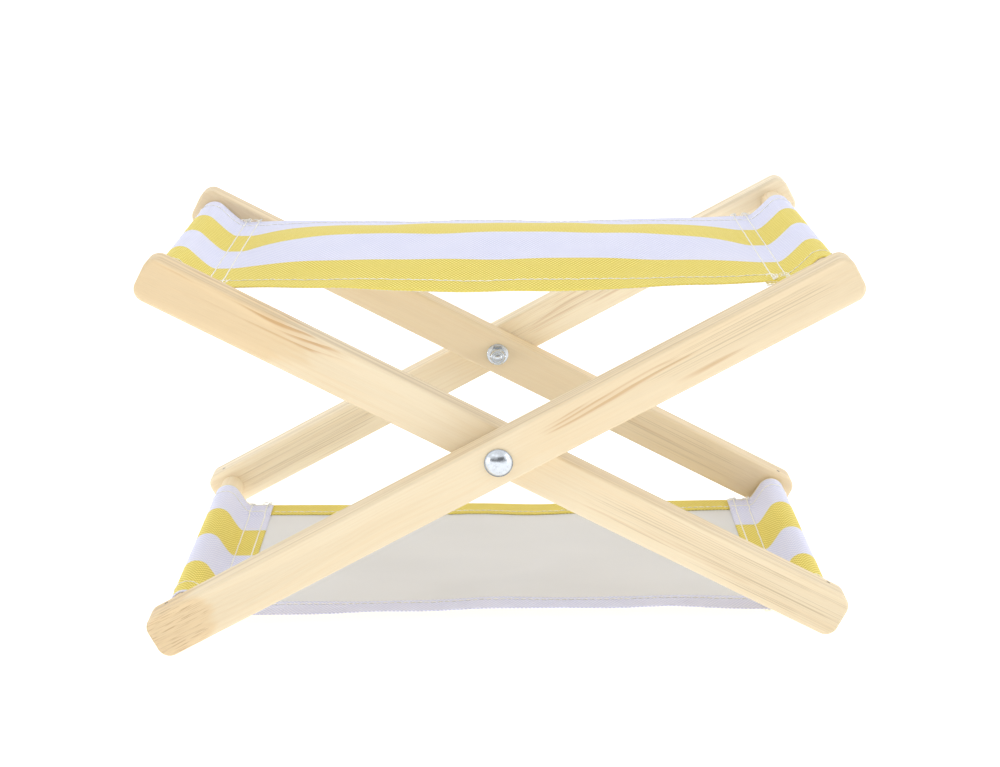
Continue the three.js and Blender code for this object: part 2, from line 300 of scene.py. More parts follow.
def make_pine_grain():
    """Pine seen along its fibres. Place is (along, through, across) in metres. Rings are bands
    across the width, drawn out along the grain and bent by a slow noise, and fibres are a fine
    noise stretched the same way. Streaks are broad orange flames, lines are long dark hairs and
    pores are short dark dashes. Edge brings out the darker layers seen in a narrow side, and
    the paleness mark pales the plank a little unevenly: painted light that lifts a plank standing in shade."""
    marks = ("Bleach", "Streak", "Lines", "Pores", "Warmth", "End", "Edge", "Arris")
    group, n, given, out = new_group(
        "pine_grain",
        [("Place", "Vector", None), ("Ring Width", "Float", 0.0032), ("Ring Strength", "Float", 0.2)]
        + [(mark, "Float", 0.0) for mark in marks],
        [("Color", "Color", None), ("Roughness", "Float", None), ("Height", "Float", None)])
    place = given["Place"]
    bend = n.noise(n.scaled(place, (4.2, 30, 26)), 1.0, 2.0, 0.45)
    parts = n.add("ShaderNodeSeparateXYZ", {0: place}).outputs
    across = n.math("ADD", parts["Z"], n.math("MULTIPLY", parts["Y"], 0.35))
    bent = n.math("ADD", across, n.math("MULTIPLY", bend, 0.050))
    saw = n.math("FRACT", n.math("DIVIDE", bent, given["Ring Width"]))
    late = n.math("MULTIPLY", n.ramp(saw, 0.30, 0.93), n.ramp(saw, 1.0, 0.95))
    fibre = n.noise(n.scaled(place, (26, 900, 900)), 1.0, 3.0, 0.6)
    fine = n.noise(n.scaled(place, (90, 3800, 3800)), 1.0, 2.0, 0.6)
    tone = n.noise(n.scaled(place, (7, 45, 45)), 1.0, 2.0, 0.5)
    # Painted light: the plank is made paler where it stands in shade
    painted_light = n.math("MULTIPLY", given["Bleach"], n.ramp(tone, 0.0, 0.6, 1.0, 0.8))
    colour = n.mix(painted_light, WOOD_PALE, WOOD_PAINTED_LIGHT)
    colour = n.mix(n.ramp(tone, 0.35, 0.75, 0.0, 0.20), colour, WOOD_WARM)
    strength = n.math("MULTIPLY", given["Ring Strength"], n.ramp(tone, 0.3, 0.7, 0.2, 1.0))
    ring = n.math("MULTIPLY", late, strength)
    colour = n.mix(ring, colour, WOOD_WARM)
    colour = n.mix(n.ramp(fibre, 0.42, 0.8, 0.0, 0.17), colour, WOOD_WARM)
    colour = n.mix(n.math("MULTIPLY", given["Warmth"], 0.6), colour, WOOD_WARM)
    flame = n.ramp(n.noise(n.scaled(place, (9, 150, 150), (0.31, 0.2, 0.77)), 1.0, 2.0, 0.5, 0.4), 0.46, 0.62)
    flame = n.math("MULTIPLY", n.math("MULTIPLY", flame, given["Streak"]), n.ramp(late, 0.0, 0.8, 0.3, 1.0))
    colour = n.mix(n.math("MULTIPLY", flame, 0.7), colour, WOOD_STREAK)
    hair = n.ramp(n.noise(n.scaled(place, (7, 1400, 2200), (0.5, 0.3, 0.6)), 1.0, 1.0, 0.4), 0.56, 0.66)
    hair = n.math("MULTIPLY", hair, given["Lines"])
    colour = n.mix(n.math("MULTIPLY", hair, 0.75), colour, WOOD_EDGE)
    dash = n.ramp(n.noise(n.scaled(place, (75, 2000, 2600)), 1.0, 1.0, 0.4), 0.56, 0.64)
    pore = n.math("MULTIPLY", dash, given["Pores"])
    colour = n.mix(pore, colour, WOOD_PORE)
    layers = n.ramp(n.noise(n.scaled(place, (5, 430, 90), (0.2, 0.7, 0.1)), 1.0, 2.0, 0.5), 0.40, 0.66)
    layers = n.math("MULTIPLY", layers, given["Edge"])
    colour = n.mix(n.math("MULTIPLY", layers, 0.50), colour, WOOD_EDGE)
    colour = n.mix(n.math("MULTIPLY", given["End"], n.ramp(fine, 0.3, 0.75, 0.10, 0.35)), colour, WOOD_EDGE)
    colour = n.mix(n.math("MULTIPLY", given["Arris"], n.ramp(fibre, 0.3, 0.7, 0.35, 0.0)), colour, WOOD_PALE)
    n.feed(out["Color"], colour)
    dull = n.ramp(fibre, 0.2, 0.8, 0.50, 0.64)
    n.feed(out["Roughness"], n.math("ADD", dull, n.math("MULTIPLY", pore, 0.2)))
    height = n.math("ADD", n.math("MULTIPLY", fibre, 0.5), n.math("MULTIPLY", fine, 0.35))
    height = n.math("ADD", height, n.math("MULTIPLY", late, 0.2))
    sunk = n.math("ADD", n.math("MULTIPLY", pore, 1.4), n.math("MULTIPLY", hair, 0.6))
    n.feed(out["Height"], n.math("SUBTRACT", height, sunk))
    return group


def make_plank_patch():
    """How far a point is inside an egg-shaped patch of a plank: 1 in the middle and 0 outside,
    with its border made uneven by a slow noise."""
    group, n, given, out = new_group(
        "plank_patch", [("Place", "Vector", None), ("Centre", "Vector", None), ("Reach", "Vector", None)],
        [("Mask", "Float", None)])
    kind = "ShaderNodeVectorMath"
    away = n.add(kind, {0: given["Place"], 1: given["Centre"]}, operation="SUBTRACT").outputs[0]
    away = n.add(kind, {0: away, 1: given["Reach"]}, operation="DIVIDE").outputs[0]
    far = n.add(kind, {0: away}, operation="LENGTH").outputs["Value"]
    uneven = n.noise(n.scaled(given["Place"], (40, 160, 160)), 1.0, 2.0)
    n.feed(out["Mask"], n.ramp(n.math("ADD", far, n.math("MULTIPLY", uneven, 0.6)), 1.34, 1.08))
    return group


def make_pine(name, ring_width, ring_strength, all_over, patches=(), seed=(0, 0, 0)):
    """Sanded pine with no varnish, from the piece's own grain_place. all_over gives each mark's
    strength everywhere, and each patch is (mark, strength, along, across, reach along, reach
    across) in the slat's own millimetres."""
    material, n, shader = new_material(name)
    place = n.add("ShaderNodeAttribute", attribute_name="grain_place").outputs["Vector"]
    side = n.add("ShaderNodeAttribute", attribute_name="grain_side").outputs["Vector"]
    side = n.add("ShaderNodeSeparateXYZ", {0: side}).outputs
    inputs = {"Place": place, "Ring Width": ring_width, "Ring Strength": ring_strength,
              "End": side["X"], "Edge": side["Y"], "Arris": side["Z"], **all_over}
    for mark, strength, along, over, reach_along, reach_over in patches:
        centre = (along * MM + seed[0], seed[1], over * MM + seed[2])
        reach = (reach_along * MM, 1.0, reach_over * MM)
        mask = place_group(n, plank_patch, {"Place": place, "Centre": centre, "Reach": reach})["Mask"]
        inputs[mark] = n.math("ADD", n.math("MULTIPLY", mask, strength), inputs.get(mark, 0.0))
    made = place_group(n, pine_grain, inputs)
    n.feed(shader.inputs["Base Color"], made["Color"])
    n.feed(shader.inputs["Roughness"], made["Roughness"])
    bump(n, shader, made["Height"], 0.35, 0.00012)
    shader.inputs["Specular IOR Level"].default_value = 0.35
    return material


# Cloth -----------------------------------------------------------------------------------------

def make_oxford_weave():
    """A basket weave. Place is (along, across) in metres and the pitches are the distances between
    two like crossings. The height is the product of one wave along and one across, so raised
    threads stand like the dark squares of a chess board, and each has a fine twist of its own."""
    group, n, given, out = new_group(
        "oxford_weave",
        [("Place", "Vector", None), ("Pitch Along", "Float", 0.002), ("Pitch Across", "Float", 0.004)],
        [("Height", "Float", None), ("Raised", "Float", None)])
    wobble = n.noise(given["Place"], 900.0, 2.0, 0.5)
    wobble = n.math("MULTIPLY", n.math("SUBTRACT", wobble, 0.5), 0.9)
    parts = n.add("ShaderNodeSeparateXYZ", {0: given["Place"]}).outputs
    waves = []
    for axis, pitch in (("X", "Pitch Along"), ("Y", "Pitch Across")):
        turns = n.math("DIVIDE", parts[axis], given[pitch])
        waves.append(n.math("SINE", n.math("ADD", n.math("MULTIPLY", turns, math.tau), wobble)))
    crossing = n.math("MULTIPLY", waves[0], waves[1])
    raised = n.ramp(crossing, -0.55, 0.75)
    turns = n.math("DIVIDE", parts["X"], given["Pitch Along"])
    threads = n.math("SINE", n.math("MULTIPLY", turns, 4 * math.tau))
    n.feed(out["Raised"], raised)
    n.feed(out["Height"], n.math("ADD", raised, n.math("MULTIPLY", threads, 0.12)))
    return group


def make_striped_cloth(weave):
    """The face of the cloth: equal white and yellow stripes along its length, oxford weave, with
    painted shade on the sunk threads and a painted highlight on the raised ones, both weaker near the folds.
    """
    material, n, shader = new_material("striped_cloth")
    place = n.add("ShaderNodeUVMap", uv_map="cloth").outputs[0]
    woven = place_group(n, weave, {"Place": place, "Pitch Along": WEAVE_ALONG, "Pitch Across": WEAVE_ACROSS})
    across = n.add("ShaderNodeSeparateXYZ", {0: place}).outputs["Y"]
    half = CLOTH_WIDTH / 2
    from_edge = n.math("SUBTRACT", n.math("ABSOLUTE", n.math("SUBTRACT", across, half)), half)
    off_fold = n.ramp(n.math("ABSOLUTE", n.math("SUBTRACT", from_edge, 0.5 * MM)), 0.8 * MM, 2.4 * MM)
    contrast = n.ramp(off_fold, 0.0, 1.0, 0.15, 1.0)
    raised = n.math("MULTIPLY", n.math("SUBTRACT", woven["Raised"], 0.5), contrast)
    raised = n.math("ADD", raised, 0.5)
    stripe = CLOTH_WIDTH / 4
    ragged = n.math("MULTIPLY", n.math("SUBTRACT", n.noise(place, 1400.0, 1.0), 0.5), 0.0006)
    from_middle = n.math("SUBTRACT", n.math("ADD", across, ragged), CLOTH_WIDTH / 2)
    eased = n.math("MULTIPLY", from_middle, CLOTH_WIDTH / (CLOTH_WIDTH + math.pi * LAYER))
    turn = n.math("FRACT", n.math("DIVIDE", n.math("ADD", eased, CLOTH_WIDTH / 2), 2 * stripe))
    edge = 0.003
    yellow = n.math("MULTIPLY", n.ramp(turn, 0.5 - edge, 0.5 + edge), n.ramp(turn, 1.0, 1.0 - 2 * edge))
    yellow = n.math("ADD", yellow, n.ramp(turn, 2 * edge, 0.0), clamp=True)
    fade = n.noise(place, 22.0, 3.0, 0.6)
    # The weave's relief is painted: painted shade on the sunk threads and a painted highlight on the raised
    # ones
    deep = n.mix(raised, YELLOW_SUNK_SHADE, YELLOW_RAISED_LIT)
    deep = n.mix(n.ramp(fade, 0.3, 0.7, 0.0, 0.15), deep, CLOTH_YELLOW)
    pale = n.mix(raised, WHITE_SUNK_SHADE, WHITE_RAISED_LIT)
    pale = n.mix(n.ramp(fade, 0.3, 0.7, 0.0, 0.3), pale, CLOTH_WHITE)
    n.feed(shader.inputs["Base Color"], n.mix(yellow, pale, deep))
    n.feed(shader.inputs["Roughness"], n.ramp(woven["Raised"], 0.0, 1.0, 0.85, 0.62))
    bump(n, shader, woven["Height"], 0.60, 0.00022)
    shader.inputs["Sheen Weight"].default_value = 0.12
    shader.inputs["Sheen Roughness"].default_value = 0.4
    shader.inputs["Specular IOR Level"].default_value = 0.3
    return material


def make_coated_back(weave):
    """The back of the cloth: a pale coating, smooth and a little wavy, with the weave just
    showing through it."""
    material, n, shader = new_material("coated_back")
    place = n.add("ShaderNodeUVMap", uv_map="cloth").outputs[0]
    woven = place_group(n, weave, {"Place": place, "Pitch Along": WEAVE_ALONG, "Pitch Across": WEAVE_ACROSS})
    waves = n.noise(n.scaled(place, (9, 16, 1)), 1.0, 2.0, 0.5, 0.6)
    colour = n.mix(n.ramp(waves, 0.3, 0.7, 0.0, 0.5), CLOTH_BACK, COATING_PALE)
    specks = n.ramp(n.noise(place, 700.0, 1.0), 0.70, 0.80, 0.0, 0.12)
    n.feed(shader.inputs["Base Color"], n.mix(specks, colour, COATING_SPECK))
    n.feed(shader.inputs["Roughness"], n.ramp(waves, 0.25, 0.75, 0.38, 0.5))
    height = n.math("ADD", n.math("MULTIPLY", woven["Height"], 0.25), n.noise(place, 260.0, 2.0))
    bump(n, shader, height, 0.18, 0.0002)
    shader.inputs["Specular IOR Level"].default_value = 0.4
    return material


def make_thread():
    """Cream sewing thread, its two plies shown by a fine slanting wave: painted shade in the grooves between
    them, and a matching bump.
    """
    material, n, shader = new_material("cream_thread")
    place = n.add("ShaderNodeTexCoord").outputs["Object"]
    ply = n.add("ShaderNodeTexWave", {"Vector": place, "Scale": 420.0, "Distortion": 1.0},
                wave_type="BANDS", bands_direction="DIAGONAL").outputs[1]
    # Painted shade in the grooves between the plies
    n.feed(shader.inputs["Base Color"], n.mix(ply, THREAD_GROOVE_SHADE, THREAD))
    n.feed(shader.inputs["Roughness"], n.ramp(ply, 0.0, 1.0, 0.75, 0.6))
    bump(n, shader, ply, 0.25, 0.00008)
    shader.inputs["Sheen Weight"].default_value = 0.3
    return material


# Metal and nylon -------------------------------------------------------------------------------

def make_plated(name, colour, rough_low, rough_high, grime):
    """Plated or plain steel: small changes of gloss and tint, and a little dullness in patches."""
    material, n, shader = new_material(name)
    place = n.add("ShaderNodeTexCoord").outputs["Object"]
    cloud = n.noise(place, 420.0, 3.0, 0.6)
    scratch = n.noise(n.scaled(place, (900, 4200, 900)), 1.0, 2.0, 0.6)
    dull = tuple(0.62 * c for c in colour)
    n.feed(shader.inputs["Base Color"], n.mix(n.ramp(cloud, 0.4, 0.75, 0.0, grime), colour, dull))
    n.feed(shader.inputs["Roughness"], n.ramp(cloud, 0.3, 0.7, rough_low, rough_high))
    bump(n, shader, n.math("ADD", cloud, n.math("MULTIPLY", scratch, 0.4)), 0.12, 0.00008)
    shader.inputs["Metallic"].default_value = 1.0
    return material


def make_nylon():
    """Milky nylon, a little clouded."""
    material, n, shader = new_material("milky_nylon")
    place = n.add("ShaderNodeTexCoord").outputs["Object"]
    cloud = n.noise(place, 600.0, 2.0, 0.5)
    n.feed(shader.inputs["Base Color"], n.mix(cloud, NYLON, NYLON_SHADE))
    n.feed(shader.inputs["Roughness"], n.ramp(cloud, 0.3, 0.7, 0.35, 0.5))
    bump(n, shader, cloud, 0.1, 0.00006)
    return material


pine_grain = make_pine_grain()
plank_patch = make_plank_patch()
weave = make_oxford_weave()
dowel_pine = make_pine("dowel_pine", 2.6 * MM, 0.40, {"Streak": 0.1, "Lines": 0.15})
striped_cloth = make_striped_cloth(weave)
coated_back = make_coated_back(weave)
cream_thread = make_thread()
zinc_plate = make_plated("zinc_plate", ZINC, 0.16, 0.30, 0.35)
brad_steel = make_plated("brad_steel", BRAD, 0.35, 0.6, 0.5)
milky_nylon = make_nylon()


# Wooden pieces ----------------------------------------------------------------------------------

def slat_outline(inset, corner_steps=12, side_steps=28):
    """Points round a long rectangle with round corners, lying along x with its width along z,
    drawn in by inset. Every inset gives the same number of points, so outlines join as a grid."""
    half_long = LEG_LENGTH / 2 - LEG_CORNER
    half_wide = LEG_WIDTH / 2 - LEG_CORNER
    radius = LEG_CORNER - inset
    runs = []
    for turn, x, z in ((0, 1, 1), (90, -1, 1), (180, -1, -1), (270, 1, -1)):
        runs.append(arc((x * half_long, z * half_wide), radius, turn, turn + 90, corner_steps))
        if turn in (0, 180):
            share = np.linspace(0, 1, side_steps + 2)[1:-1, None]
            start = runs[-1][-1]
            runs.append(start + share * np.array([-2 * x * half_long, 0]))
    return np.concatenate(runs)


def slat_surface():
    """A slat in its own frame: outlines stacked through the thickness, drawn in over the arrises
    by a quarter circle, then the flat face in to the bolt hole and back through the hole. Also
    gives how far each outline is turned into the narrow side."""
    half = LEG_THICK / 2
    rings, edge = [], []

    def ring(inset, y):
        """One outline drawn in by inset."""
        edge.append(1 - min(inset / LEG_ARRIS, 1))
        xz = slat_outline(inset)
        rings.append(np.stack([xz[:, 0], np.full(len(xz), y), xz[:, 1]], -1))

    def hole(y):
        """The bolt hole's rim, with a point for each of the outline's."""
        edge.append(0)
        xz = slat_outline(0)
        angle = np.arctan2(xz[:, 1], xz[:, 0])
        x, z = BOLT_HOLE * np.cos(angle), BOLT_HOLE * np.sin(angle)
        rings.append(np.stack([x, np.full(len(xz), y), z], -1))

    steps = np.radians(np.linspace(0, 90, 7))
    support = 0.5 * MM
    hole(-half)
    ring(LEG_ARRIS + support, -half)
    for a in steps:
        ring(LEG_ARRIS * (1 - math.sin(a)), -half + LEG_ARRIS * (1 - math.cos(a)))
    ring(0, -half + LEG_ARRIS + support)
    ring(0, half - LEG_ARRIS - support)
    for a in steps[::-1]:
        ring(LEG_ARRIS * (1 - math.sin(a)), half - LEG_ARRIS * (1 - math.cos(a)))
    ring(LEG_ARRIS + support, half)
    hole(half)
    return np.stack(rings), np.array(edge)


def make_slat(name, node, lean, seed, pine):
    """A leg. lean is +1 where it rises to the right. seed is its own place in the plank."""
    rings, edge = slat_surface()
    rows, columns = rings.shape[:2]
    local = rings.reshape(-1, 3)
    end = smoothstep((np.abs(local[:, 0]) - (LEG_LENGTH / 2 - LEG_CORNER)) / LEG_CORNER)
    edge = np.repeat(edge, columns) * (1 - end)
    arris = 4 * edge * (1 - edge)
    marks = {"grain_place": local + np.array(seed), "grain_side": np.stack([end, edge, arris], -1)}
    points = leaned(local, lean, middle(node).y)
    piece = make_piece(name, points, grid_faces(rows, columns, True, True), [pine], 35, marks)
    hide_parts(node)
    return piece


def make_dowel(name, node, seed):
    """A round bar along y with its ends chamfered, standing in the legs' mortises."""
    low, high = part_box(node)
    x, z = middle(node).x, middle(node).z
    r = DOWEL_RADIUS
    steps = 30
    straight = np.linspace(low.y + DOWEL_CHAMFER, high.y - DOWEL_CHAMFER, steps)
    profile = np.concatenate([
        [[0, low.y], [r - DOWEL_CHAMFER, low.y]],
        np.stack([np.full(steps, r), straight], -1),
        [[r - DOWEL_CHAMFER, high.y], [0, high.y]],
    ])
    sides = 64
    local = turned(profile, sides)
    end = smoothstep(np.where(np.hypot(local[:, 0], local[:, 2]) < r - DOWEL_CHAMFER / 2, 1.0, 0.0))
    grain_place = np.stack([local[:, 1], local[:, 0], local[:, 2]], -1) + np.array(seed)
    marks = {"grain_place": grain_place, "grain_side": np.stack([end, 0 * end, 0 * end], -1)}
    quads = grid_faces(len(profile), sides, False, True)
    piece = make_piece(name, local + np.array([x, 0, z]), quads, [dowel_pine], 40, marks)
    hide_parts(node)
    return piece


def make_brad(name, node, lean, up):
    """A brad's pin and flat head, just under the slat's narrow edge. up is the side of the slat,
    in its own frame, that the head is on."""
    where = middle(node)
    side = 1 if where.x > 0 else -1
    reach = math.hypot(DOWEL_X, DOWEL_RISE) * side
    top = LEG_WIDTH / 2 + 0.05 * MM
    pin = np.array([(0, -3), (0.7, -1.5), (0.7, 12.0), (1.25, 12.1)]) * MM
    dish = np.array([(1.25 * MM, top - 0.15 * MM), (1.1 * MM, top),
                     (0.5 * MM, top - 0.03 * MM), (0, top - 0.08 * MM)])
    profile = np.concatenate([pin, dish])
    sides = 20
    local = turned(profile, sides)
    along = np.stack([reach + local[:, 0], local[:, 2], up * local[:, 1]], -1)
    quads = grid_faces(len(profile), sides, False, True)
    piece = make_piece(name, leaned(along, lean, where.y), quads, [brad_steel], 40)
    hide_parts(node)
    return piece


# Pivot hardware: each piece is turned about the pivot line -----------------------------------------

def on_pivot(name, node, points, quads, material, where, sharp=35):
    """Puts a turned piece on the pivot line: made for the front, and turned about for the rear."""
    if where == "rear":
        points = points * np.array([-1, -1, 1])
    piece = make_piece(name, points + np.array([0, 0, PIVOT_Z]), quads, [material], sharp)
    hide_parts(node)
    return piece


def front_span(node):
    """Where a piece of hardware begins and ends along y, as it lies on the front leg."""
    low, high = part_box(node)
    return sorted((-abs(low.y), -abs(high.y)))


def rounded_ring(inner, outer, y0, y1, soft):
    """The closed half-section of a flat ring with its outer corners rounded by soft."""
    return np.concatenate([
        [[inner, y0]],
        arc((outer - soft, y0 + soft), soft, -90, 0, 5),
        arc((outer - soft, y1 - soft), soft, 0, 90, 5),
        [[inner, y1]],
    ])


def make_washer(name, node, where, inner):
    """A flat ring with its outer corners rounded."""
    y0, y1 = front_span(node)
    section = rounded_ring(inner, size(node).x / 2, y0, y1, 0.38 * (y1 - y0))
    points = turned(section, 64)
    piece = on_pivot(name, node, points, grid_faces(len(section), 64, True, True), zinc_plate, where)
    return piece


def make_bolt(name, node, where):
    """A bolt: a low dome with a softly rounded rim, a plain shank, and a thread on the last part.
    The thread is a wave of the radius that climbs once each pitch as it goes round."""
    outside, inside = front_span(node)
    head = size(node).x / 2
    shank, pitch, depth = 3.0 * MM, 1.0 * MM, 0.3 * MM
    plain_end, turns = -100 * MM, 60
    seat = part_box("outer_leg_front")[0].y
    rim = 0.55 * MM
    rise = seat - outside - rim
    reach = head - 0.35 * rim
    ball = (reach ** 2 + rise ** 2) / (2 * rise)
    edge = math.degrees(math.asin(reach / ball))
    dome = arc((0, outside + ball), ball, -90, -90 + edge, 22)
    rounding = arc((head - rim, seat - rim), rim, -38, 90, 8)
    plain = np.array([[shank, seat], [shank, plain_end]])
    ridge_y = np.linspace(plain_end + 0.1 * MM, inside - 0.6 * MM, turns)
    threaded = np.stack([np.full(turns, shank), ridge_y], -1)
    tip = np.array([[shank - 0.15 * MM, inside - 0.45 * MM], [shank - 0.6 * MM, inside], [0, inside]])
    section = np.concatenate([dome, rounding, plain, threaded, tip])

    def thread(angle, radius, y):
        """The shank's radius less a groove that climbs one pitch each turn."""
        turn = y / pitch - angle / (2 * np.pi)
        groove = np.abs(2 * (turn - np.floor(turn)) - 1)
        cut = (y > plain_end + 0.05 * MM) & (y < inside - 0.5 * MM) & (radius > shank - 0.01 * MM)
        return np.where(cut, radius - depth * groove, radius)

    sides = 72
    points = turned(section, sides, thread)
    piece = on_pivot(name, node, points, grid_faces(len(section), sides, False, True), zinc_plate, where, 50)
    return piece


def make_lock_nut(name, node, where):
    """A hexagon lock nut. The radius is the smaller of the turned section and the hexagon, and the
    hexagon's radius is the half flat over the cosine of the angle from the nearest flat."""
    y0, y1 = front_span(node)
    flat = size(node).x / 2
    corner = flat / math.cos(math.radians(30))
    hex_top = y1 - 2.0 * MM
    bore = 3.02 * MM
    collar, lip, roll = 4.75 * MM, 3.95 * MM, 1.5 * MM
    section = np.concatenate([
        [[bore, y0], [flat - 0.35 * MM, y0], [corner, y0 + 0.6 * MM]],
        np.stack([np.full(5, corner), np.linspace(y0 + 0.8 * MM, hex_top - 1.0 * MM, 5)], -1),
        [[corner, hex_top - 0.7 * MM], [flat - 0.15 * MM, hex_top - 0.1 * MM],
         [collar + 0.1 * MM, hex_top + 0.1 * MM]],
        [lip, y1 - roll] + arc((0, 0), 1, 0, 90, 8) * [collar - lip, roll],
        [[3.8 * MM, y1 - 0.2 * MM], [3.8 * MM, y1 - 0.9 * MM], [bore, y1 - 0.9 * MM]],
    ])

    def hexagon(angle, radius, _):
        """The smaller of the section's radius and the hexagon's."""
        from_flat = np.mod(angle + np.pi / 6, np.pi / 3) - np.pi / 6
        return np.minimum(radius, flat / np.cos(from_flat))

    sides = 96
    points = turned(section, sides, hexagon)
    points = points[:, [2, 1, 0]] * np.array([1, 1, -1])
    piece = on_pivot(name, node, points, grid_faces(len(section), sides, True, True), zinc_plate, where, 28)
    return piece


def make_nylon_ring(name, node, where):
    """The ring inside the nut's collar, with its outer corners rounded."""
    y0, y1 = front_span(node)
    section = rounded_ring(3.05 * MM, 3.78 * MM, y0 + 0.75 * MM, y1 - 0.1 * MM, 0.3 * MM)
    sides = 48
    quads = grid_faces(len(section), sides, True, True)
    piece = on_pivot(name, node, turned(section, sides), quads, milky_nylon, where)
    return piece


# Slings -------------------------------------------------------------------------------------------


def bezier(p0, p1, p2, p3, count):
    """Points on a cubic curve, its first point left out."""
    t = np.linspace(0, 1, count + 1)[1:, None]
    return (1 - t) ** 3 * p0 + 3 * t * (1 - t) ** 2 * p1 + 3 * t * t * (1 - t) * p2 + t ** 3 * p3


def sleeve_line(seam, spacing, level):
    """The section of one sleeve, as (distance in from the dowel's middle, height) pairs: from the
    flap's free edge, under to the outer stitch line, out round the dowel as an arc, and back over
    to the outer stitch line. The arc is joined to the seam by a curve that leaves the dowel on its
    tangent and comes in flat. Also gives which points are the flap and how far it has risen."""
    r = SLEEVE_RADIUS
    away = math.atan2(level, seam)
    lean = math.acos(r / math.hypot(level, seam)) - 0.10
    top, under = away + lean, away - lean
    flap_edge = seam + spacing + TAIL
    flap = np.stack([np.linspace(flap_edge, seam, 10), np.full(10, level - LAYER)], -1)
    turn = np.linspace(under + 2 * math.pi, top, 48)
    wrap = np.stack([r * np.cos(turn), r * np.sin(turn)], -1)
    gap = math.hypot(seam - wrap[0, 0], level - wrap[0, 1])
    reach, near = 0.42 * gap, 0.20 * gap
    leave = np.array([math.sin(turn[0]), -math.cos(turn[0])])
    lower = bezier(flap[-1], flap[-1] - [near, 0], wrap[0] - leave * reach, wrap[0], 14)
    gap = math.hypot(seam - wrap[-1, 0], level - wrap[-1, 1])
    reach, near = 0.42 * gap, 0.20 * gap
    leave = np.array([math.sin(turn[-1]), -math.cos(turn[-1])])
    seam_top = np.array([seam, level])
    upper = bezier(wrap[-1], wrap[-1] + leave * reach, seam_top - [near, 0], seam_top, 14)
    line = np.concatenate([flap, lower, wrap[1:], upper])
    flapness = np.concatenate([np.ones(10), smoothstep(np.linspace(1, 0, 15))[1:], np.zeros(47 + 14)])
    return line, flapness


class Sling:
    """One cut of cloth with hems turned to its back along both long edges and a sleeve sewn round a
    dowel at each end. A point of it is given by s, the distance along the cut, v, the distance
    across it from the rear edge, and lift, the height off the cloth on its face side. In its own
    frame the face is up; turned_over lays it face down. print_width widens the cut's stripes a
    little, which moves their borders at the folds from the face to the turned-in hem."""

    def __init__(self, dowel_z, turned_over, level, left, right, crown, print_width):
        self.dowel_z, self.turned_over, self.crown = dowel_z, turned_over, crown
        self.print_width = print_width
        a, flap_a = sleeve_line(*left, level)
        b, flap_b = sleeve_line(*right, level)
        a = np.stack([a[:, 0] - DOWEL_X, a[:, 1]], -1)
        b = np.stack([DOWEL_X - b[:, 0], b[:, 1]], -1)[::-1]
        middle_x = np.linspace(a[-1, 0], b[0, 0], 130)[1:-1]
        span = np.stack([middle_x, np.full(len(middle_x), level)], -1)
        line = np.concatenate([a, span, b])
        self.line = line
        self.flapness = np.concatenate([flap_a, np.zeros(len(span)), flap_b[::-1]])
        self.s = np.concatenate([[0], np.cumsum(np.hypot(*np.diff(line, axis=0).T))])
        slope = np.gradient(line, self.s, axis=0)
        self.tangent = slope / np.hypot(slope[:, 0], slope[:, 1])[:, None]
        self.length = self.s[-1]
        start, end = self.s[len(a) - 1], self.s[len(a) + len(span)]
        self.span = (start, end)
        self.main_stitches = [start, start + left[1], end - right[1], end]
        tail = TAIL
        self.flap_stitches = [tail + left[1], tail, self.length - tail, self.length - tail - right[1]]
        self.inner_seams = (a[-1, 0] + left[1], b[0, 0] - right[1])

    def across(self, v):
        """(y, depth) of a distance v across the cut: level between the edges, a half circle at
        each edge, then back in under the cloth."""
        half = CLOTH_WIDTH / 2
        fold = LAYER / 2
        out = np.maximum(-v, v - CLOTH_WIDTH)
        side = np.where(v < CLOTH_WIDTH / 2, 1, -1)
        turn = np.clip(out / fold, 0, np.pi)
        folded = np.maximum(out - np.pi * fold, 0)
        y_edge = half + fold * np.sin(turn) - folded
        depth = np.where(out > 0, -fold * (1 - np.cos(turn)), 0)
        y = np.where(out > 0, side * y_edge, half - v)
        return y, depth

    def point(self, s, v, lift=0.0):
        """The place in the stool of each (s, v, lift)."""
        s, v, lift = np.broadcast_arrays(np.asarray(s, float), v, lift)
        x = np.interp(s, self.s, self.line[:, 0])
        z = np.interp(s, self.s, self.line[:, 1])
        tx = np.interp(s, self.s, self.tangent[:, 0])
        tz = np.interp(s, self.s, self.tangent[:, 1])
        size_t = np.hypot(tx, tz)
        y, depth = self.across(v)
        y = y * (1 - FLAP_NARROW * np.interp(s, self.s, self.flapness))
        off = depth + lift
        x, z = x - tz / size_t * off, z + tx / size_t * off
        on_span = (s > self.span[0]) & (s < self.span[1])
        z = z + np.where(on_span, self.crown(x, y, self.inner_seams), 0)
        at_hem = smoothstep((np.abs(y) - (CLOTH_WIDTH / 2 - HEM - 4 * MM)) / (4 * MM))
        z = z - np.interp(s, self.s, self.flapness) * at_hem * 2 * LAYER
        z = z + self.pucker(s, y)
        if self.turned_over:
            x, z = -x, -z
        return np.stack([x, y, z + self.dowel_z], -1)

    def pucker(self, s, y):
        """The little waves that a row of stitches draws along a hem."""
        near = np.exp(-((np.abs(y) - (CLOTH_WIDTH / 2 - HEM_STITCH)) / (5 * MM)) ** 2)
        wave = np.sin(s * 2 * np.pi / (13 * MM)) + 0.6 * np.sin(s * 2 * np.pi / (7.1 * MM) + y * 60)
        return 0.09 * MM * near * wave


def from_seams(x, seams):
    """How far in from the nearer seam x is, rounded off at the seam so that no crease is left."""
    d = np.minimum(x - seams[0], seams[1] - x)
    soft = 5 * MM
    return np.sqrt(np.maximum(d, 0) ** 2 + soft ** 2) - soft


def ripples(x, y, waves):
    """Slow waves over the cloth, each (height, waves a metre along x and y, start)."""
    return sum(h * np.sin(2 * np.pi * (kx * x + ky * y) + start) for h, kx, ky, start in waves)


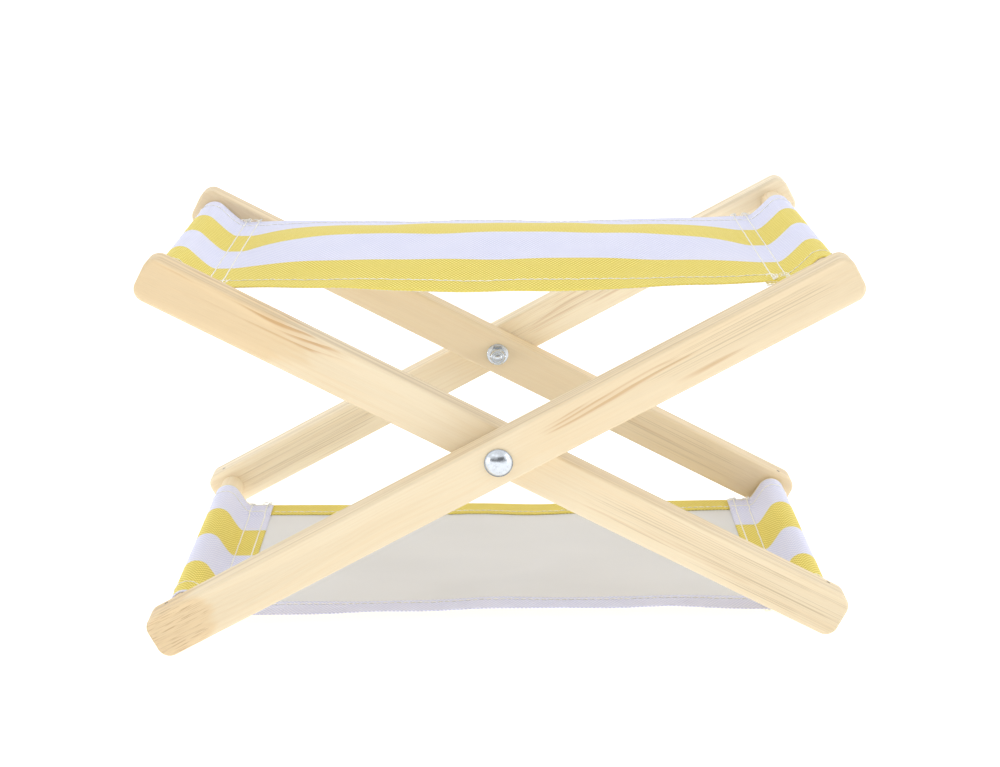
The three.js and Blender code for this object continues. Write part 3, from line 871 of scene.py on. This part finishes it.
def seat_crown(x, y, seams):
    """The stiff seat cloth stands up in a ridge along its length and its edges hang. Across, the
    height is a hyperbola: a straight slope each side of a rounded ridge. From the seams inward
    the ridge comes up at once and levels off, and the hanging edges come in later."""
    d = from_seams(x, seams)
    ridge_y, slope, round_off = 8 * MM, 0.158, 25 * MM
    height = 10.3 * MM - slope * (np.sqrt((y - ridge_y) ** 2 + round_off ** 2) - round_off)
    rise = 1 - np.exp(-d / (27 * MM))
    hang = smoothstep((d - 22 * MM) / (88 * MM))
    above = 1 / (1 + np.exp(-height / (1.5 * MM)))
    shape = height * (above * rise + (1 - above) * hang)
    tilt = -1.2 * MM * rise * x / (150 * MM)
    waves = ripples(x, y, ((0.35 * MM, 7.5, 3.0, 0.4), (0.25 * MM, -12.0, 9.0, 1.9),
                           (0.14 * MM, 21.0, -6.0, 3.0)))
    return shape + tilt + rise * waves


def shelf_crown(x, y, seams):
    """The storage sling hangs a little: a shallow bowl whose front edge is drawn up, most at its
    right, with slow waves in its coated back."""
    d = from_seams(x, seams)
    rise = smoothstep(d / (80 * MM))
    out = y / (CLOTH_WIDTH / 2)
    bowl = 0.6 * MM + 1.6 * MM * (1 - out ** 2) - 2.4 * MM * np.maximum(-out, 0) ** 2
    bowl = bowl + 1.7 * MM * np.maximum(-out, 0) * x / (150 * MM)
    waves = ripples(x, y, ((0.45 * MM, 6.0, 4.0, 0.2), (0.35 * MM, -10.0, 7.0, 2.1),
                           (0.2 * MM, 17.0, 11.0, 4.0)))
    return rise * (bowl + waves)


def make_cloth(name, node, sling):
    """The cloth as a grid along and across the cut, closer round the sleeves and at the hems."""
    s = sling.s
    out = np.pi * LAYER / 2
    edge = np.concatenate([np.linspace(-out - HEM, -out, 11), np.linspace(-out, 0, 7)[1:]])
    main = np.linspace(0, CLOTH_WIDTH, 70)
    v = np.concatenate([edge, main[1:-1], CLOTH_WIDTH - edge[::-1]])
    points = sling.point(s[:, None], v[None, :]).reshape(-1, 3)
    quads = grid_faces(len(s), len(v))
    piece = make_piece(name, points, quads, [striped_cloth, coated_back], closed=False)
    uv = piece.data.uv_layers.new(name="cloth")
    loops = np.zeros(len(piece.data.loops), np.int32)
    piece.data.loops.foreach_get("vertex_index", loops)
    printed = CLOTH_WIDTH / 2 + (v - CLOTH_WIDTH / 2) * sling.print_width
    flat = np.stack(np.broadcast_arrays(s[:, None], printed[None, :]), -1).reshape(-1, 2)
    uv.data.foreach_set("uv", flat[loops].astype(np.float32).ravel())
    wall = piece.modifiers.new("cloth_thickness", "SOLIDIFY")
    wall.thickness = CLOTH_THICK
    wall.offset = 0
    wall.use_even_offset = True
    wall.material_offset = 1
    wall.material_offset_rim = 0
    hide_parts(node)
    return piece


def stitch_tubes(sling, s, v, along_s, long, lift, radius=THREAD_RADIUS):
    """Short bowed threads at the places (s, v): each is a tube whose middle stands off the cloth
    and whose ends go into it, drawn in the cloth's own s, v and lift."""
    s, v = np.broadcast_arrays(np.asarray(s, float), np.asarray(v, float))
    t = np.linspace(-1, 1, STITCH_RINGS)[None, :, None]
    a = np.linspace(0, 2 * np.pi, THREAD_SIDES, endpoint=False)[None, None, :]
    thin = np.sqrt(1 - 0.5 * t ** 2)
    step = t * long / 2 + 0 * a
    side = THREAD_SPREAD * radius * thin * np.cos(a)
    sign = 1 if lift > 0 else -1
    bow = sign * radius * (0.5 * (1 - t ** 2) - 0.1)
    height = lift + bow + THREAD_PRESSED * radius * thin * np.sin(a)
    ds, dv = (step, side) if along_s else (side, step)
    points = sling.point(s[:, None, None] + ds, v[:, None, None] + dv, height + 0 * ds)
    base = grid_faces(STITCH_RINGS, THREAD_SIDES, False, True)
    quads = (np.arange(len(s))[:, None, None] * STITCH_RINGS * THREAD_SIDES + base[None]).reshape(-1, 4)
    return points.reshape(-1, 3), quads


def thread_tail(sling, s, v, lift, direction, long, curl, radius=LOOSE_RADIUS):
    """A loose end of thread: a thin tube that leaves the seam and curls up off the cloth."""
    count = 12
    t = np.linspace(0, 1, count)[:, None]
    a = np.linspace(0, 2 * np.pi, THREAD_SIDES, endpoint=False)[None, :]
    path_s = s + direction[0] * long * t + 0.25 * long * np.sin(curl * t)
    path_v = v + direction[1] * long * t + 0.20 * long * np.sin(curl * 1.3 * t + 0.5)
    path_l = lift + 0.9 * long * t * (1.15 - t)
    thin = radius * (1 - 0.5 * t)
    points = sling.point(path_s + thin * np.cos(a), path_v + 0 * a, path_l + thin * np.sin(a))
    return points.reshape(-1, 3), grid_faces(count, THREAD_SIDES, False, True)


def make_stitching(name, sling, seed):
    """All the thread on one sling: a row along each hem on both sides, two rows across at each
    sleeve on both sides, each ended by a few stitches sewn back, and some loose ends."""
    luck = np.random.default_rng(seed)
    parts = []
    face = CLOTH_THICK / 2 + 0.06 * MM
    under = -(LAYER + CLOTH_THICK / 2 + 0.06 * MM)

    def row(places, fixed, along_s, long, lift):
        """A row of stitches along s or along v, each a little off its line."""
        jitter = luck.normal(0, 0.07 * MM, len(places))
        s, v = (places, fixed + jitter) if along_s else (fixed + jitter, places)
        parts.append(stitch_tubes(sling, s, v, along_s, long, lift))

    for v in (HEM_STITCH, CLOTH_WIDTH - HEM_STITCH):
        row(np.arange(3 * MM, sling.length - 3 * MM, HEM_PITCH), v, True, 3.95 * MM, face)
        start, end = sling.main_stitches[1], sling.main_stitches[2]
        row(np.arange(start + 6 * MM, end - 6 * MM, HEM_PITCH), v, True, 3.3 * MM, under)
    for s in (*sling.main_stitches, *sling.flap_stitches):
        row(np.arange(2 * MM, CLOTH_WIDTH - 1 * MM, SEAM_PITCH), s, False, 3.4 * MM, face)
        for edge in (3 * MM, CLOTH_WIDTH - 3 * MM):
            back = edge + luck.uniform(-2.5, 2.5, 6) * MM
            row(back, s + 0.25 * MM, False, 3.0 * MM, face + 0.15 * MM)
    for s in (*sling.main_stitches, *sling.flap_stitches):
        for edge, out in ((1.5 * MM, -1), (CLOTH_WIDTH - 1.5 * MM, 1)):
            for _ in range(5):
                way = (luck.uniform(-0.7, 0.7), -out * luck.uniform(0.3, 1.0))
                long = luck.uniform(4, 9) * MM
                parts.append(thread_tail(sling, s, edge, face, way, long, luck.uniform(3, 7)))
    points, quads, count = [], [], 0
    for p, q in parts:
        points.append(p)
        quads.append(q + count)
        count += len(p)
    piece = make_piece(name, np.concatenate(points), np.concatenate(quads), [cream_thread], closed=False)
    work = bmesh.new()
    work.from_mesh(piece.data)
    bmesh.ops.holes_fill(work, edges=work.edges, sides=THREAD_SIDES)
    bmesh.ops.recalc_face_normals(work, faces=work.faces)
    work.to_mesh(piece.data)
    work.free()
    return piece


# Camera, light and floor ------------------------------------------------------------------------------

def make_camera():
    """Stands in front of the stool, a little above it, tipped down and very slightly rolled."""
    pitch, roll, away, lens = math.radians(14.80), math.radians(-0.675), 1.124, 73.8
    aim_right, aim_rise = 1.35 * MM, 45.4 * MM
    look = Vector((0, math.cos(pitch), -math.sin(pitch)))
    level = Vector((1, 0, 0))
    rise = level.cross(look)
    right = level * math.cos(roll) + rise * math.sin(roll)
    up = rise * math.cos(roll) - level * math.sin(roll)
    target = Vector((aim_right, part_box("outer_leg_front")[0].y, PIVOT_Z + aim_rise))
    data = bpy.data.cameras.new("camera")
    data.sensor_width = 36
    data.lens = lens
    data.clip_start, data.clip_end = 0.02, 50
    camera = bpy.data.objects.new("camera", data)
    bpy.context.scene.collection.objects.link(camera)
    turn = Matrix((right, up, -look)).transposed().to_4x4()
    camera.matrix_world = Matrix.Translation(target - look * away) @ turn
    bpy.context.scene.camera = camera


def make_area_light(name, place, aim, side, power, spread=180):
    """A rectangular lamp at a place, facing its aim. spread is its cone in degrees."""
    data = bpy.data.lights.new(name, "AREA")
    data.shape = "RECTANGLE"
    data.size, data.size_y = side
    data.energy = power
    data.spread = math.radians(spread)
    light = bpy.data.objects.new(name, data)
    bpy.context.scene.collection.objects.link(light)
    light.location = place
    light.rotation_euler = (Vector(aim) - Vector(place)).to_track_quat("-Z", "Y").to_euler()


def make_world():
    """Pale studio walls with a dark band low in front, behind the camera, so that metal has
    something to show."""
    world = bpy.data.worlds.new("studio")
    world.use_nodes = True
    bpy.context.scene.world = world
    n = Nodes(world.node_tree)
    way = n.add("ShaderNodeSeparateXYZ", {0: n.add("ShaderNodeTexCoord").outputs["Generated"]}).outputs
    band = n.math("MULTIPLY", n.ramp(way["Z"], 0.02, 0.12), n.ramp(way["Z"], 0.62, 0.48))
    band = n.math("MULTIPLY", band, n.ramp(way["Y"], -0.40, -0.75))
    shade = n.ramp(band, 0.0, 1.0, 1.0, 0.18)
    background = world.node_tree.nodes["Background"]
    grey = n.add("ShaderNodeCombineColor", {0: shade, 1: shade, 2: shade}).outputs[0]
    n.feed(background.inputs["Color"], grey)
    background.inputs["Strength"].default_value = 1.08


def make_floor():
    """A wide pale floor that gives a little light of its own."""
    material, n, shader = new_material("pale_floor")
    place = n.add("ShaderNodeTexCoord").outputs["Object"]
    n.feed(shader.inputs["Base Color"], n.mix(n.noise(place, 3.0), (0.50, 0.50, 0.50), (0.54, 0.54, 0.54)))
    shader.inputs["Roughness"].default_value = 0.9
    shader.inputs["Emission Color"].default_value = (1, 1, 1, 1)
    shader.inputs["Emission Strength"].default_value = 0.85
    side = 12.0
    corners = np.array([[-side, -side, 0], [side, -side, 0], [side, side, 0], [-side, side, 0]])
    floor = make_piece("floor", corners, np.array([[0, 1, 2, 3]]), [material], closed=False)


make_camera()
make_world()
make_area_light("front_softbox", (-0.9, -1.7, 1.3), (0, 0, 0.1), (1.6, 1.2), 2.5)
make_area_light("side_softbox", (1.6, -0.9, 1.0), (0, 0, 0.1), (1.0, 1.0), 3)
for left_or_right in (-1, 1):
    make_area_light(f"rear_fill_{left_or_right}", (left_or_right * 1.2, -0.45, 0.22), (0, 0.14, 0.10),
                    (0.5, 0.4), 0.11, spread=34)
make_floor()
bpy.context.scene.view_settings.view_transform = "Standard"

# The stool ---------------------------------------------------------------------------------------------

FRAMES = (("outer", 1), ("inner", -1))
# Each leg's place in its plank, its marks all over, and its patches

# The outer rear leg is painted paler: painted light that lifts it out of the shade of the seat and the front
# frame
TINTS = {("outer", "rear"): {"Bleach": 1.0}, ("inner", "rear"): {"Warmth": 0.5}}
PLAIN = {"Streak": 0.05, "Lines": 0.07, "Pores": 0.03}
# A patch is (mark, strength, along, across, reach along, reach across), in millimetres

PLANKS = {
    ("outer", "front"): ((0.11, 0.02, 0.31), (
        ("Warmth", 1.0, -209, 0, 27, 20), ("Pores", 0.6, -211, 0, 25, 18), ("Warmth", 0.35, 120, 0, 130, 22),
        ("Streak", 0.75, 78, 3, 52, 6), ("Streak", 0.85, 150, -8, 62, 6), ("Lines", 0.6, 150, 2, 60, 9))),
    ("inner", "front"): ((0.93, 0.21, 0.87), (
        ("Lines", 0.55, 140, 0, 82, 12), ("Streak", 1.0, -160, 9, 62, 6), ("Warmth", 1.0, -190, 0, 70, 22),
        ("Lines", 0.35, 190, 0, 60, 14), ("Streak", 0.25, 110, -4, 60, 7))),
    ("outer", "rear"): ((1.71, 0.43, 1.49), (
        ("Lines", 0.6, -150, 0, 60, 12), ("Streak", 0.5, 100, 0, 80, 12), ("Lines", 0.5, 60, 3, 60, 8))),
    ("inner", "rear"): ((2.57, 0.64, 2.02), (
        ("Lines", 0.55, 130, 0, 70, 9), ("Streak", 0.5, 120, 2, 45, 5))),
}

for frame_name, lean in FRAMES:
    body = frame_name + "_frame"
    for where in ("front", "rear"):
        seed, patches = PLANKS[frame_name, where]
        marks = {**PLAIN, **TINTS.get((frame_name, where), {})}
        pine = make_pine(f"pine_{frame_name}_{where}", 3.6 * MM, 0.15, marks, patches, seed)
        slat = make_slat(f"pine_slat_{frame_name}_{where}", f"{frame_name}_leg_{where}", lean, seed, pine)
        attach(slat, body)
    for end, up in (("foot", 1), ("top", -1)):
        node = f"{frame_name}_{end}_dowel"
        dowel = make_dowel(f"pine_dowel_{frame_name}_{end}", node, (3.1 + up, lean * 0.7, 0.4 + up * 0.3))
        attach(dowel, body)
        for where in ("front", "rear"):
            node = f"{frame_name}_{end}_brad_{where}"
            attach(make_brad(f"brad_pin_{frame_name}_{end}_{where}", node, lean, up), body)

for where in ("front", "rear"):
    for piece in (
        make_bolt(f"dome_bolt_{where}", f"pivot_bolt_{where}", where),
        make_washer(f"thin_washer_{where}", f"spacer_washer_{where}", where, 3.2 * MM),
        make_washer(f"flat_washer_{where}", f"nut_washer_{where}", where, 3.2 * MM),
        make_lock_nut(f"hex_lock_nut_{where}", f"lock_nut_{where}", where),
        make_nylon_ring(f"nylon_ring_{where}", f"nut_insert_{where}", where),
    ):
        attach(piece, "outer_frame")

# Each sling's height, side up, level beside the dowels, and each end's seam: its distance in from
# the dowel and the distance to its second row of stitches

seat = Sling(PIVOT_Z + DOWEL_RISE, False, -5.3 * MM,
             (20.7 * MM, 8.3 * MM), (20.3 * MM, 8.3 * MM), seat_crown, 1.0)
shelf = Sling(PIVOT_Z - DOWEL_RISE, True, 7.4 * MM,
              (16.7 * MM, 9.0 * MM), (16.5 * MM, 10.5 * MM), shelf_crown, 1.018)

for name, node, sling, bodies, dowels, seed in (
    ("seat_cloth", "seat_sling", seat, ("inner_frame", "outer_frame"),
     ["pine_dowel_inner_top", "pine_dowel_outer_top"], 4),
    ("shelf_cloth", "lower_sling", shelf, ("outer_frame", "inner_frame"),
     ["pine_dowel_outer_foot", "pine_dowel_inner_foot"], 9),
):
    cloth = make_cloth(name, node, sling)
    thread = make_stitching(name.replace("cloth", "stitching"), sling, seed)
    for piece in (cloth, thread):
        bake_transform(piece)
